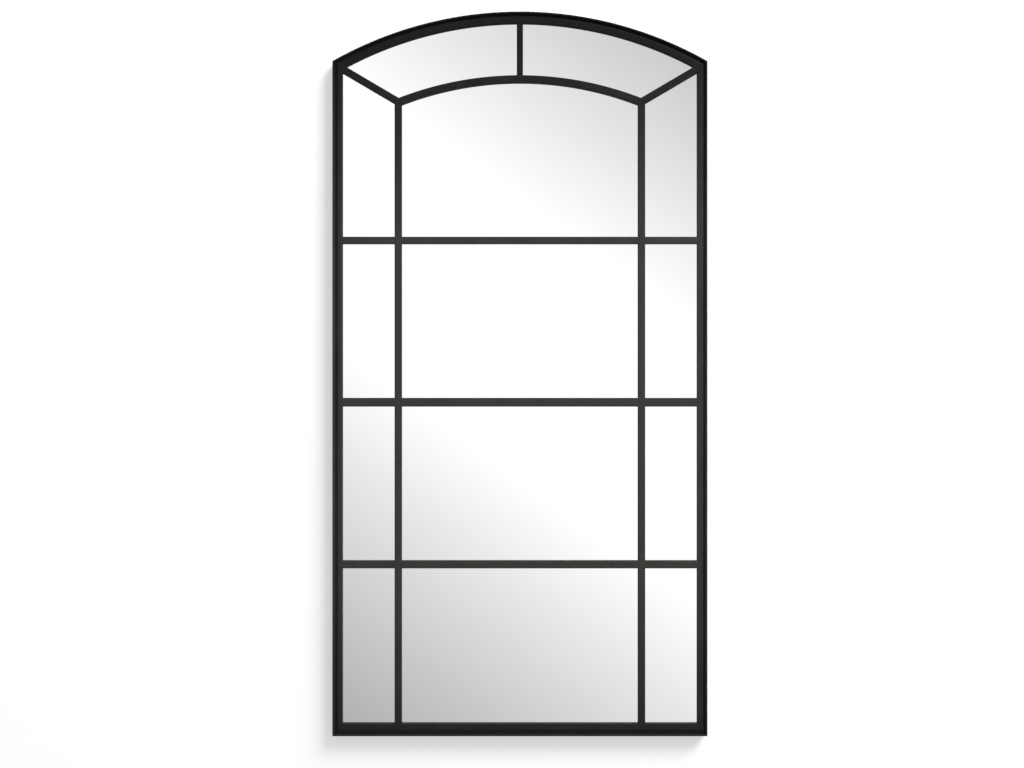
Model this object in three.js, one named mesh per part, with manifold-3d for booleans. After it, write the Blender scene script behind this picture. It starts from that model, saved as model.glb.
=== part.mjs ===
// Arched window mirror: a welded steel window frame over one sheet of mirror glass, hung on two D-rings.
// Millimetres. X to the right, Z up, the front faces -Y and the wall lies on the +Y side.
// The origin is the bottom centre of the bounding box.

import * as THREE from 'three';
import { mergeVertices } from 'three/addons/utils/BufferGeometryUtils.js';
import Module from 'manifold-3d';

// ---------------------------------------------------------------- driving dimensions

// Outline of the whole frame
const overallWidth = 940;
const overallHeight = 1816;
const archRise = 124; // height of the crown over the two spring corners

// Rim: flat bar on edge
const rimThickness = 5;
const rimDepth = 30;
const rimEdgeRadius = 1.2;

// Face bars inside the rim; the widths include the rim
const stileWidth = 25;
const bottomRailWidth = 31;
const archRailWidth = 28.5;
const faceThickness = 5;
const faceSetBack = 4; // from the front edge of the rim to the face
const shoulderShare = 0.33; // sunk shoulder along the rim, as a share of the bar, so that mitres line up
const shoulderDrop = 2.2;
const edgeRadius = 1.5; // rounded front edges round every pane

// Window bars
const muntinWidth = 18;
const crownBarWidth = 15.5;
const cornerBarWidth = 18;
const crossbarWidths = { lower: 19.5, middle: 22, upper: 18 };
const sideBandWidth = 130.5; // clear width between a stile and its upright bar
const crownBandHeight = 130; // clear height between the arch rail and the inner arch
const footPaneExtra = 2.5; // the bottom row of panes is taller than the others by this much
const innerArchWidth = 19;
const innerArchRadius = 842; // to its upper edge

// Glass, tape and backing
const glassThickness = 4;
const glassInset = 16; // from the outside of the rim to the edge of the glass
const tapeThickness = 3;
const tapeWidth = 7;
const tapeInset = 1.6; // tape back from the opening's edge
const boardThickness = 3;
const boardClearance = 1; // round the board, inside the rim
const settingBlockLength = 50;
const settingBlockInset = 170; // from the outside of the rim to the middle of each block

// Threaded bosses and the screws of the board
const bossRadius = 4.3;
const bossHoleRadius = 1.9;
const bossFloor = 1; // metal left under the hole
const bossRoot = 0.6; // how far a boss is let into its bar
const boardScrewRadius = 1.6;
const boardScrewClearance = 0.6; // under the tip
const screwHeadRadius = 3.6;
const screwHeadHeight = 2.1;
const boardHoleRadius = 2.1;
const lowestScrew = 120; // over the bottom edge
const highestScrew = 120; // below the pivot of the D-rings
const screwsPerSide = 4;
const bottomScrewInset = 320; // from the outside of the rim
const archScrewInset = 250; // from the outside of the rim

// Hangers
const hangerDrop = 132; // from the spring corners down to the pivot of the D-rings
const hangerInset = 30; // middle of the strap, from the outside of the rim
const plateLength = 50; // along X
const plateUnderStrap = 9; // plate below the round end of the strap
const plateThickness = 3;
const plateOverPivot = 14; // plate above the pivot line
const plateCornerRadius = 4;
const plateClearance = 0.3; // between the board and the plate
const strapWidth = 15;
const strapThickness = 1.5;
const strapLength = 43; // from the pivot to the round end
const strapScrewDrops = [12.5, 33.5]; // below the pivot
const hangerScrewRadius = 1.7;
const hangerHoleClearance = 0.3;
const wireRadius = 1.75;
const eyeClearance = 0.3;
const eyeEndAngle = -100; // where the curl stops, in degrees from straight back
const ringInnerWidth = 24;
const ringInnerHeight = 21;
const ringCornerRadius = 4;
const ringEndGap = 0.8; // between the butt ends of the wire, inside the eye

// Corner gussets and wall bumpers
const gussetLeg = 72;
const gussetThickness = 3;
const gussetClip = 9; // clipped tips
const bumperPlace = 19; // from the inside of the rim, both ways
const bumperRadius = 8;
const bumperHeight = 2;
const bumperTaper = 1;

// Joints between pieces
const weldGap = 0.3; // left between a bar and a curved or slanting neighbour
const mitreGap = 0.2; // cut back from each side of a mitre
const drillOverrun = 1; // cutting tools run this far past the work

// Facets
const archSteps = 40;
const innerArchSteps = 30;
const roundSides = 16;
const holeSides = 14;
const screwSides = 12;
const bumperSides = 20;
const curlSteps = 10;
const wireSides = 10;
const wireSteps = 44;
const edgeSteps = 2;

// ---------------------------------------------------------------- derived places

const overallDepth = rimDepth + bumperHeight;
const lipY = -overallDepth / 2;
const rimBackY = lipY + rimDepth;
const faceY = lipY + faceSetBack;
const faceBackY = faceY + faceThickness;
const glassY = faceBackY + tapeThickness;
const boardY = glassY + glassThickness;
const boardBackY = boardY + boardThickness;
const plateY = boardBackY + plateClearance;
const plateBackY = plateY + plateThickness;
const strapBackY = plateBackY + strapThickness;
const eyeRadius = wireRadius + eyeClearance;
const pivotY = strapBackY + eyeRadius;

const halfWidth = overallWidth / 2;
const rimInside = halfWidth - rimThickness;
const archRadius = (halfWidth ** 2 + archRise ** 2) / (2 * archRise);
const faceInset = rimThickness + weldGap;
const bossInset = (faceInset + glassInset) / 2;

// A window outline has two upright sides, a foot and an arch: one for the frame and one for the inner grid.
const outer = outline(halfWidth, overallHeight, archRadius);
const innerCrown = overallHeight - archRailWidth - crownBandHeight;
const inner = outline(halfWidth - stileWidth - sideBandWidth, innerCrown, innerArchRadius);

const hangerHeight = overallHeight - archRise - hangerDrop;

// Rows of panes, from the bottom rail up to the inner arch
const { lower, middle, upper } = crossbarWidths;
const clearHeight = innerCrown - innerArchWidth - bottomRailWidth - lower - middle - upper;
const paneHeight = (clearHeight - footPaneExtra) / 4;
const lowerZ = bottomRailWidth + footPaneExtra + paneHeight + lower / 2;
const middleZ = lowerZ + paneHeight + (lower + middle) / 2;
const upperZ = middleZ + paneHeight + (middle + upper) / 2;
const crossbarHeights = { lower: lowerZ, middle: middleZ, upper: upperZ };

function outline(half, crown, radius) {
  return { half, crown, radius, centre: crown - radius };
}

// Height of the arch of an outline at x, with the arch drawn in by inset.
function archHeight(line, x, inset) {
  return line.centre + Math.sqrt((line.radius - inset) ** 2 - x ** 2);
}

// ---------------------------------------------------------------- materials

const paint = { color: 0x2c2b29, roughness: 0.45, metalness: 0.2 };
const silvering = { color: 0xf2f4f4, roughness: 0.02, metalness: 1 };
const foam = { color: 0x1b1b1c, roughness: 0.95, metalness: 0 };
const board = { color: 0x6b4f38, roughness: 0.85, metalness: 0 };
const zinc = { color: 0xb9bcbe, roughness: 0.35, metalness: 0.9 };
const blackRubber = { color: 0x18181a, roughness: 0.9, metalness: 0 };

const mirror = new THREE.Group();

function addPiece(name, geometry, look) {
  const piece = new THREE.Mesh(geometry, new THREE.MeshStandardMaterial(look));
  piece.name = name;
  mirror.add(piece);
  return piece;
}

// ---------------------------------------------------------------- solids

const wasm = await Module();
wasm.setup();

function positionsOnly(geometry) {
  const bare = new THREE.BufferGeometry();
  bare.setAttribute('position', geometry.getAttribute('position'));
  bare.setIndex(geometry.getIndex());
  return mergeVertices(bare, 1e-5);
}

function toSolid(geometry) {
  const welded = positionsOnly(geometry);
  return new wasm.Manifold(
    new wasm.Mesh({
      numProp: 3,
      vertProperties: new Float32Array(welded.getAttribute('position').array),
      triVerts: new Uint32Array(welded.getIndex().array),
    })
  );
}

function toGeometry(solid) {
  const { vertProperties, triVerts, numProp } = solid.getMesh();
  const count = vertProperties.length / numProp;
  const positions = new Float32Array(count * 3);
  for (let i = 0; i < count; i += 1) {
    positions.set(vertProperties.subarray(i * numProp, i * numProp + 3), i * 3);
  }
  const geometry = new THREE.BufferGeometry();
  geometry.setAttribute('position', new THREE.BufferAttribute(positions, 3));
  geometry.setIndex(new THREE.BufferAttribute(triVerts, 1));
  geometry.computeVertexNormals();
  return geometry;
}

function joined(geometry, others) {
  let solid = toSolid(geometry);
  for (const other of others) {
    solid = solid.add(toSolid(other));
  }
  return toGeometry(solid);
}

function cut(geometry, tools) {
  let solid = toSolid(geometry);
  for (const tool of tools) {
    solid = solid.subtract(toSolid(tool));
  }
  return toGeometry(solid);
}

function common(geometry, other) {
  return toGeometry(toSolid(geometry).intersect(toSolid(other)));
}

// Turns a geometry's faces over if they point inwards.
function facingOut(geometry) {
  const flat = geometry.getIndex() ? geometry.toNonIndexed() : geometry;
  const spots = flat.getAttribute('position');
  const [a, b, c] = [new THREE.Vector3(), new THREE.Vector3(), new THREE.Vector3()];
  let volume = 0;
  for (let i = 0; i < spots.count; i += 3) {
    a.fromBufferAttribute(spots, i);
    b.fromBufferAttribute(spots, i + 1);
    c.fromBufferAttribute(spots, i + 2);
    volume += a.dot(b.cross(c));
  }
  if (volume < 0) {
    for (let i = 0; i < spots.count; i += 3) {
      b.fromBufferAttribute(spots, i + 1);
      c.fromBufferAttribute(spots, i + 2);
      spots.setXYZ(i + 1, c.x, c.y, c.z);
      spots.setXYZ(i + 2, b.x, b.y, b.z);
    }
  }
  const bare = new THREE.BufferGeometry();
  bare.setAttribute('position', spots);
  bare.computeVertexNormals();
  return bare;
}

// A plate: an outline in X and Z, from frontY back by thickness.
function plate(shape, frontY, thickness, curveSegments = roundSides) {
  const options = { depth: thickness, bevelEnabled: false, curveSegments };
  const geometry = new THREE.ExtrudeGeometry(shape, options);
  geometry.rotateX(Math.PI / 2);
  geometry.translate(0, frontY + thickness, 0);
  return geometry;
}

// A bar: a section drawn across (0 at the outer edge) and in depth (Y), carried along by place(across, t).
function bar(section, steps, place) {
  const options = { depth: 1, steps, bevelEnabled: false, curveSegments: edgeSteps };
  const geometry = new THREE.ExtrudeGeometry(section, options);
  const spots = geometry.getAttribute('position');
  for (let i = 0; i < spots.count; i += 1) {
    const { x, z } = place(spots.getX(i), spots.getZ(i));
    spots.setXYZ(i, x, spots.getY(i), z);
  }
  return facingOut(geometry);
}

// A round turned about Y, from a profile of radius and depth.
function turned(profile, x, z, sides = roundSides) {
  const points = profile.map(([radius, y]) => new THREE.Vector2(radius, y));
  const geometry = new THREE.LatheGeometry(points, sides);
  geometry.translate(x, 0, z);
  return facingOut(geometry);
}

// ---------------------------------------------------------------- sections

// Flat bar whose front edges are rounded. The same bar, grown all round, cuts its neighbours.
function roundedBarSection(width, frontY, thickness, radius, grown = 0) {
  const back = frontY + thickness + grown;
  const round = radius + grown;
  const shape = new THREE.Shape();
  shape.moveTo(-grown, back);
  shape.lineTo(-grown, frontY + radius);
  shape.absarc(radius, frontY + radius, round, Math.PI, 1.5 * Math.PI, false);
  shape.lineTo(width - radius, frontY - grown);
  shape.absarc(width - radius, frontY + radius, round, 1.5 * Math.PI, 2 * Math.PI, false);
  shape.lineTo(width + grown, back);
  shape.closePath();
  return shape;
}

function windowBarSection(width, grown = 0) {
  return roundedBarSection(width, faceY, faceThickness, edgeRadius, grown);
}

// Face bar: a shoulder that sinks towards the rim, a flat face and a rounded inner edge.
function faceSection(width, grown = 0) {
  const shoulder = width * shoulderShare;
  const frontY = faceY - grown;
  const shape = new THREE.Shape();
  shape.moveTo(0, faceBackY + grown);
  shape.lineTo(0, frontY + shoulderDrop);
  shape.quadraticCurveTo(shoulder / 2, frontY + shoulderDrop, shoulder, frontY);
  shape.lineTo(width - edgeRadius, frontY);
  const round = edgeRadius + grown;
  shape.absarc(width - edgeRadius, faceY + edgeRadius, round, 1.5 * Math.PI, 2 * Math.PI, false);
  shape.lineTo(width + grown, faceBackY + grown);
  shape.closePath();
  return shape;
}

function tapeSection(width) {
  const shape = new THREE.Shape();
  shape.moveTo(width - tapeInset - tapeWidth, faceBackY);
  shape.lineTo(width - tapeInset, faceBackY);
  shape.lineTo(width - tapeInset, glassY);
  shape.lineTo(width - tapeInset - tapeWidth, glassY);
  shape.closePath();
  return shape;
}

// ---------------------------------------------------------------- bars that follow an outline

// Each bar of a frame lies between two insets. These functions give its corner at the arch, on the left,
// for a share of its width: 0 on its outer edge, 1 on its inner edge.
function archCorner(line, side, rail, share) {
  const start = cornerPoint(line, side.from, rail.from);
  const end = cornerPoint(line, side.to, rail.to);
  return start.lerp(end, share);
}

function cornerPoint(line, sideInset, railInset) {
  const x = line.half - sideInset;
  return new THREE.Vector2(x, archHeight(line, x, railInset));
}

// Upright bar on one hand: -1 left, 1 right. The foot is a mitre with a bottom rail, or a level end.
function sideBar(section, line, hand, side, rail, foot) {
  const width = side.to - side.from;
  return bar(section, 1, (across, t) => {
    const share = across / width;
    const top = archCorner(line, side, rail, share).y - mitreGap;
    const low = foot.mitred ? foot.from + (foot.to - foot.from) * share + mitreGap : foot.to;
    return { x: hand * (line.half - side.from - across), z: low + (top - low) * t };
  });
}

function bottomBar(section, line, side, foot) {
  const width = foot.to - foot.from;
  return bar(section, 1, (across, t) => {
    const share = across / width;
    const reach = line.half - side.from - (side.to - side.from) * share - mitreGap;
    return { x: reach * (2 * t - 1), z: foot.from + across };
  });
}

// Angle from the crown at which the circle of the arch, drawn in by inset, meets the mitre.
function mitreAngle(line, side, rail, inset) {
  const start = archCorner(line, side, rail, 0);
  const run = archCorner(line, side, rail, 1).sub(start);
  const rise = start.y - line.centre;
  const radius = line.radius - inset;
  const a = run.lengthSq();
  const b = start.x * run.x + rise * run.y;
  const c = start.x ** 2 + rise ** 2 - radius ** 2;
  const share = (-b - Math.sqrt(b * b - a * c)) / a;
  return Math.atan2(start.x + run.x * share, rise + run.y * share) - mitreGap / radius;
}

function archBar(section, line, side, rail, steps) {
  return bar(section, steps, (across, t) => {
    const inset = rail.from + across;
    const angle = mitreAngle(line, side, rail, inset) * (2 * t - 1);
    const radius = line.radius - inset;
    return { x: radius * Math.sin(angle), z: line.centre + radius * Math.cos(angle) };
  });
}

// ---------------------------------------------------------------- closed outlines

function archedShape(line, sideInset, footZ, railInset) {
  const half = line.half - sideInset;
  const springZ = archHeight(line, half, railInset);
  const tilt = Math.atan2(springZ - line.centre, half);
  const shape = new THREE.Shape();
  shape.moveTo(-half, footZ);
  shape.lineTo(half, footZ);
  shape.lineTo(half, springZ);
  shape.absarc(0, line.centre, line.radius - railInset, tilt, Math.PI - tilt, false);
  shape.closePath();
  return shape;
}

const band = { from: 0, to: rimThickness };
const faceSide = { from: faceInset, to: stileWidth };
const faceRail = { from: faceInset, to: archRailWidth };
const faceFoot = { from: faceInset, to: bottomRailWidth };
const hands = { left: -1, right: 1 };

// ---------------------------------------------------------------- rim

function makeRim() {
  const section = roundedBarSection(rimThickness, lipY, rimDepth, rimEdgeRadius);
  for (const [name, hand] of Object.entries(hands)) {
    const foot = { ...band, mitred: true };
    addPiece(`rim_${name}`, sideBar(section, outer, hand, band, band, foot), paint);
  }
  addPiece('rim_bottom', bottomBar(section, outer, band, band), paint);
  addPiece('rim_arch', archBar(section, outer, band, band, archSteps), paint);
}

// ---------------------------------------------------------------- face bars and their bosses

// Threaded boss on the back of a bar, with a blind hole for a board screw.
function boss({ x, z }) {
  const holeY = faceBackY + bossFloor;
  return turned(
    [
      [0, faceBackY - bossRoot],
      [bossRadius, faceBackY - bossRoot],
      [bossRadius, boardY],
      [bossHoleRadius, boardY],
      [bossHoleRadius, holeY],
      [0, holeY],
    ],
    x,
    z
  );
}

function screwPlaces() {
  const x = halfWidth - bossInset;
  const pitch = (hangerHeight - highestScrew - lowestScrew) / (screwsPerSide - 1);
  const rows = Array.from({ length: screwsPerSide }, (_, i) => lowestScrew + i * pitch);
  const onSide = (hand) => rows.map((z) => ({ x: hand * x, z }));
  const pair = (inset, height) =>
    [-1, 1].map((hand) => ({ x: hand * (halfWidth - inset), z: height(halfWidth - inset) }));
  return {
    left: onSide(-1),
    right: onSide(1),
    bottom: pair(bottomScrewInset, () => bossInset),
    arch: pair(archScrewInset, (x) => archHeight(outer, x, bossInset)),
  };
}

const places = screwPlaces();

function faceUpright(hand, grown) {
  const section = faceSection(faceSide.to - faceSide.from, grown);
  return sideBar(section, outer, hand, faceSide, faceRail, { ...faceFoot, mitred: true });
}

function faceBottom(grown) {
  return bottomBar(faceSection(faceFoot.to - faceFoot.from, grown), outer, faceSide, faceFoot);
}

function faceArch(grown) {
  return archBar(faceSection(faceRail.to - faceRail.from, grown), outer, faceSide, faceRail, archSteps);
}

function makeFaceBars() {
  for (const [name, hand] of Object.entries(hands)) {
    addPiece(`face_bar_${name}`, joined(faceUpright(hand, 0), places[name].map(boss)), paint);
  }
  addPiece('face_bar_bottom', joined(faceBottom(0), places.bottom.map(boss)), paint);
  addPiece('face_bar_arch', joined(faceArch(0), places.arch.map(boss)), paint);
}

// ---------------------------------------------------------------- window bars

// Every window bar that ends on another bar is coped: it runs over the rounded edge of that bar and is cut
// to its shape, with the weld gap between them, so that the flat faces meet.

// Straight bar between two points of the front, centred on the line between them.
function straightBar(from, to, width) {
  const along = to.clone().sub(from);
  const aside = new THREE.Vector2(-along.y, along.x).normalize();
  return bar(windowBarSection(width), 1, (across, t) => {
    const offset = across - width / 2;
    return { x: from.x + along.x * t + aside.x * offset, z: from.y + along.y * t + aside.y * offset };
  });
}

const innerSide = { from: 0, to: muntinWidth };
const innerRail = { from: 0, to: innerArchWidth };

function upright(hand, grown) {
  const foot = { to: bottomRailWidth - edgeRadius, mitred: false };
  return sideBar(windowBarSection(muntinWidth, grown), inner, hand, innerSide, innerRail, foot);
}

function innerArch(grown) {
  return archBar(windowBarSection(innerArchWidth, grown), inner, innerSide, innerRail, innerArchSteps);
}

function makeGrid() {
  for (const [name, hand] of Object.entries(hands)) {
    addPiece(`upright_bar_${name}`, cut(upright(hand, 0), [faceBottom(weldGap)]), paint);
  }
  addPiece('inner_arch', innerArch(0), paint);
}

// A block deeper than the bars, inside an arched outline.
function archedBlock(shape) {
  return plate(shape, faceY - drillOverrun, faceThickness + 2 * drillOverrun, archSteps);
}

// Cuts a bar of the border strip to the frame's opening at one end and to the grid at the other.
function borderBar(blank, neighbours) {
  const opening = [stileWidth, bottomRailWidth, archRailWidth].map((inset) => inset - edgeRadius);
  const trimmed = common(blank, archedBlock(archedShape(outer, ...opening)));
  const inside = archedBlock(archedShape(inner, edgeRadius, 0, edgeRadius));
  return cut(trimmed, [inside, ...neighbours]);
}

function makeBorderBars() {
  const arches = [faceArch(weldGap), innerArch(weldGap)];
  const top = new THREE.Vector2(0, outer.crown);
  const crown = straightBar(new THREE.Vector2(0, inner.crown - innerArchWidth), top, crownBarWidth);
  addPiece('crown_bar', borderBar(crown, arches), paint);
  for (const [name, hand] of Object.entries(hands)) {
    const start = cornerPoint(outer, stileWidth, archRailWidth);
    const end = cornerPoint(inner, 0, 0);
    const past = end.clone().sub(start).setLength(cornerBarWidth);
    const from = start.clone().sub(past);
    const to = end.clone().add(past);
    from.x *= hand;
    to.x *= hand;
    const blank = straightBar(from, to, cornerBarWidth);
    const neighbours = [...arches, faceUpright(hand, weldGap), upright(hand, weldGap)];
    addPiece(`corner_bar_${name}`, borderBar(blank, neighbours), paint);
  }
}

function makeCrossbars() {
  const stileEdge = halfWidth - stileWidth + edgeRadius;
  const uprightEdge = inner.half - edgeRadius;
  const centreEdge = inner.half - muntinWidth + edgeRadius;
  const [left, right] = [-1, 1].map((hand) => upright(hand, weldGap));
  const spans = {
    left: { ends: [-stileEdge, -uprightEdge], neighbours: [faceUpright(-1, weldGap), left] },
    centre: { ends: [-centreEdge, centreEdge], neighbours: [left, right] },
    right: { ends: [uprightEdge, stileEdge], neighbours: [faceUpright(1, weldGap), right] },
  };
  for (const [row, z] of Object.entries(crossbarHeights)) {
    for (const [name, { ends, neighbours }] of Object.entries(spans)) {
      const [from, to] = ends.map((x) => new THREE.Vector2(x, z));
      const blank = straightBar(from, to, crossbarWidths[row]);
      addPiece(`crossbar_${row}_${name}`, cut(blank, neighbours), paint);
    }
  }
}

// ---------------------------------------------------------------- glass and what holds it

function makeTape() {
  const side = tapeSection(faceSide.to - faceSide.from);
  for (const [name, hand] of Object.entries(hands)) {
    const foot = { ...faceFoot, mitred: true };
    addPiece(`glazing_tape_${name}`, sideBar(side, outer, hand, faceSide, faceRail, foot), foam);
  }
  const low = tapeSection(faceFoot.to - faceFoot.from);
  addPiece('glazing_tape_bottom', bottomBar(low, outer, faceSide, faceFoot), foam);
  const high = tapeSection(faceRail.to - faceRail.from);
  addPiece('glazing_tape_arch', archBar(high, outer, faceSide, faceRail, archSteps), foam);
}

function makeGlass() {
  const sheet = archedShape(outer, glassInset, glassInset, glassInset);
  addPiece('mirror_glass', plate(sheet, glassY, glassThickness, archSteps / 2), silvering);
}

function rectangle(x, z, width, height) {
  const shape = new THREE.Shape();
  shape.moveTo(x - width / 2, z - height / 2);
  shape.lineTo(x + width / 2, z - height / 2);
  shape.lineTo(x + width / 2, z + height / 2);
  shape.lineTo(x - width / 2, z + height / 2);
  shape.closePath();
  return shape;
}

function makeSettingBlocks() {
  const height = glassInset - rimThickness;
  const z = rimThickness + height / 2;
  for (const [name, hand] of Object.entries(hands)) {
    const x = hand * (halfWidth - settingBlockInset);
    const block = rectangle(x, z, settingBlockLength, height);
    addPiece(`setting_block_${name}`, plate(block, glassY, glassThickness), blackRubber);
  }
}

// Round cutting tool along Y, through a plate that starts at frontY.
function drill(x, z, radius, frontY, thickness) {
  const hole = new THREE.Shape();
  hole.absarc(x, z, radius, 0, 2 * Math.PI, false);
  return plate(hole, frontY - drillOverrun, thickness + 2 * drillOverrun, holeSides / 2);
}

function makeBoard() {
  const inset = rimThickness + boardClearance;
  const sheet = plate(archedShape(outer, inset, inset, inset), boardY, boardThickness, archSteps / 2);
  const holes = Object.values(places)
    .flat()
    .map(({ x, z }) => drill(x, z, boardHoleRadius, boardY, boardThickness));
  addPiece('backing_board', cut(sheet, holes), board);
}

// Pan-head screw driven from the back: its head lies on seatY and its tip reaches tipY.
function panScrew(x, z, radius, seatY, tipY) {
  const topY = seatY + screwHeadHeight;
  return turned(
    [
      [0, tipY],
      [radius * 0.6, tipY],
      [radius, tipY + radius * 0.6],
      [radius, seatY],
      [screwHeadRadius, seatY],
      [screwHeadRadius, seatY + screwHeadHeight * 0.45],
      [screwHeadRadius * 0.82, seatY + screwHeadHeight * 0.85],
      [screwHeadRadius * 0.5, topY],
      [0, topY],
    ],
    x,
    z,
    screwSides
  );
}

function makeBoardScrews() {
  const tipY = faceBackY + bossFloor + boardScrewClearance;
  for (const [side, spots] of Object.entries(places)) {
    spots.forEach(({ x, z }, i) => {
      const geometry = panScrew(x, z, boardScrewRadius, boardBackY, tipY);
      addPiece(`board_screw_${side}_${i + 1}`, geometry, zinc);
    });
  }
}

// ---------------------------------------------------------------- hangers

const hangerX = halfWidth - hangerInset;
const hangerHoleRadius = hangerScrewRadius + hangerHoleClearance;

function hangerHoles(x, frontY, thickness) {
  return strapScrewDrops.map((drop) => drill(x, hangerHeight - drop, hangerHoleRadius, frontY, thickness));
}

// Flat plate welded to the inside of the rim, with its two free corners rounded.
function hangerPlate(hand) {
  const low = hangerHeight - strapLength - plateUnderStrap;
  const high = hangerHeight + plateOverPivot;
  const free = hand * (rimInside - plateLength);
  const turn = hand * plateCornerRadius;
  const shape = new THREE.Shape();
  shape.moveTo(hand * rimInside, low);
  shape.lineTo(hand * rimInside, high);
  shape.lineTo(free + turn, high);
  shape.quadraticCurveTo(free, high, free, high - plateCornerRadius);
  shape.lineTo(free, low + plateCornerRadius);
  shape.quadraticCurveTo(free, low, free + turn, low);
  shape.closePath();
  const holes = hangerHoles(hand * hangerX, plateY, plateThickness);
  return cut(plate(shape, plateY, plateThickness), holes);
}

// Strip that lies on the plate and curls round the wire of the D-ring.
function strapCurl() {
  const outside = eyeRadius + strapThickness;
  const stop = (eyeEndAngle * Math.PI) / 180;
  const shape = new THREE.Shape();
  shape.moveTo(plateBackY, -strapLength);
  shape.lineTo(plateBackY, 0);
  shape.absarc(pivotY, 0, outside, Math.PI, stop, true);
  shape.lineTo(pivotY + eyeRadius * Math.cos(stop), eyeRadius * Math.sin(stop));
  shape.absarc(pivotY, 0, eyeRadius, stop, Math.PI, false);
  shape.lineTo(strapBackY, -strapLength);
  shape.closePath();
  return shape;
}

function strap(hand) {
  const x = hand * hangerX;
  const options = { depth: strapWidth, bevelEnabled: false, curveSegments: curlSteps };
  const strip = new THREE.ExtrudeGeometry(strapCurl(), options);
  // The section's first axis is depth (Y) and its second is height (Z); the sweep runs along X.
  const axes = [new THREE.Vector3(0, 1, 0), new THREE.Vector3(0, 0, 1), new THREE.Vector3(1, 0, 0)];
  strip.applyMatrix4(new THREE.Matrix4().makeBasis(...axes));
  const half = strapWidth / 2;
  strip.translate(x - half, 0, hangerHeight);
  const blade = new THREE.Shape();
  const endZ = hangerHeight - strapLength + half;
  blade.moveTo(x + half + 1, hangerHeight + 2 * half);
  blade.lineTo(x - half - 1, hangerHeight + 2 * half);
  blade.lineTo(x - half - 1, endZ);
  blade.lineTo(x - half, endZ);
  blade.absarc(x, endZ, half, Math.PI, 2 * Math.PI, false);
  blade.lineTo(x + half + 1, endZ);
  blade.closePath();
  const rounded = common(facingOut(strip), plate(blade, plateBackY - 1, 2 * pivotY));
  return cut(rounded, hangerHoles(x, plateBackY, strapThickness));
}

// Middle line of the bent wire, as an open path that starts and ends inside the eye.
class RingPath extends THREE.Curve {
  constructor() {
    super();
    const half = ringInnerWidth / 2 + wireRadius;
    const round = ringCornerRadius;
    const bowZ = -(ringInnerHeight + wireRadius - ringInnerWidth / 2);
    const path = new THREE.Path();
    path.moveTo(ringEndGap / 2, 0);
    path.lineTo(half - round, 0);
    path.absarc(half - round, -round, round, Math.PI / 2, 0, true);
    path.lineTo(half, bowZ);
    path.absarc(0, bowZ, half, 0, -Math.PI, true);
    path.lineTo(-half, -round);
    path.absarc(-half + round, -round, round, Math.PI, Math.PI / 2, true);
    path.lineTo(-ringEndGap / 2, 0);
    this.path = path;
  }

  getPoint(t, target = new THREE.Vector3()) {
    const spot = this.path.getPoint(t);
    return target.set(spot.x, 0, spot.y);
  }
}

function dRing() {
  const wire = new THREE.Shape();
  wire.absarc(0, 0, wireRadius, 0, 2 * Math.PI, false);
  const path = new RingPath();
  const options = { steps: wireSteps, extrudePath: path, curveSegments: wireSides / 2 };
  return facingOut(new THREE.ExtrudeGeometry(wire, { ...options, bevelEnabled: false }));
}

function makeHangers() {
  for (const [name, hand] of Object.entries(hands)) {
    addPiece(`hanger_plate_${name}`, hangerPlate(hand), paint);
    addPiece(`hanger_strap_${name}`, strap(hand), zinc);
    const ring = addPiece(`d_ring_${name}`, dRing(), zinc);
    ring.position.set(hand * hangerX, pivotY, hangerHeight);
    strapScrewDrops.forEach((drop, i) => {
      const z = hangerHeight - drop;
      const screw = panScrew(hand * hangerX, z, hangerScrewRadius, strapBackY, plateY);
      addPiece(`hanger_screw_${name}_${i + 1}`, screw, zinc);
    });
  }
}

// ---------------------------------------------------------------- corner gussets and wall bumpers

function makeCorners() {
  for (const [name, hand] of Object.entries(hands)) {
    const cornerX = hand * rimInside;
    const shape = new THREE.Shape();
    shape.moveTo(cornerX, rimThickness);
    shape.lineTo(cornerX - hand * gussetLeg, rimThickness);
    shape.lineTo(cornerX - hand * gussetLeg, rimThickness + gussetClip);
    shape.lineTo(cornerX - hand * gussetClip, rimThickness + gussetLeg);
    shape.lineTo(cornerX, rimThickness + gussetLeg);
    shape.closePath();
    addPiece(`corner_gusset_${name}`, plate(shape, rimBackY - gussetThickness, gussetThickness), paint);
    const profile = [
      [0, rimBackY],
      [bumperRadius, rimBackY],
      [bumperRadius - bumperTaper, rimBackY + bumperHeight * 0.7],
      [bumperRadius - 2 * bumperTaper, rimBackY + bumperHeight],
      [0, rimBackY + bumperHeight],
    ];
    const pad = turned(profile, cornerX - hand * bumperPlace, rimThickness + bumperPlace, bumperSides);
    addPiece(`wall_bumper_${name}`, pad, blackRubber);
  }
}

// ---------------------------------------------------------------- assembly

makeRim();
makeFaceBars();
makeGrid();
makeBorderBars();
makeCrossbars();
makeTape();
makeGlass();
makeSettingBlocks();
makeBoard();
makeBoardScrews();
makeHangers();
makeCorners();

export default mirror;
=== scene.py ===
# %% [markdown]
# # Arched window mirror
# A tall wall mirror made like an arched window. A welded frame of black steel bars lies over a sheet of
# mirror glass, and the whole thing hangs close to a wall on two D-rings. The CAD frame is loaded first,
# because every piece made here takes its place from it.

# %% Load the frame
import math
from functools import partial

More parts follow.
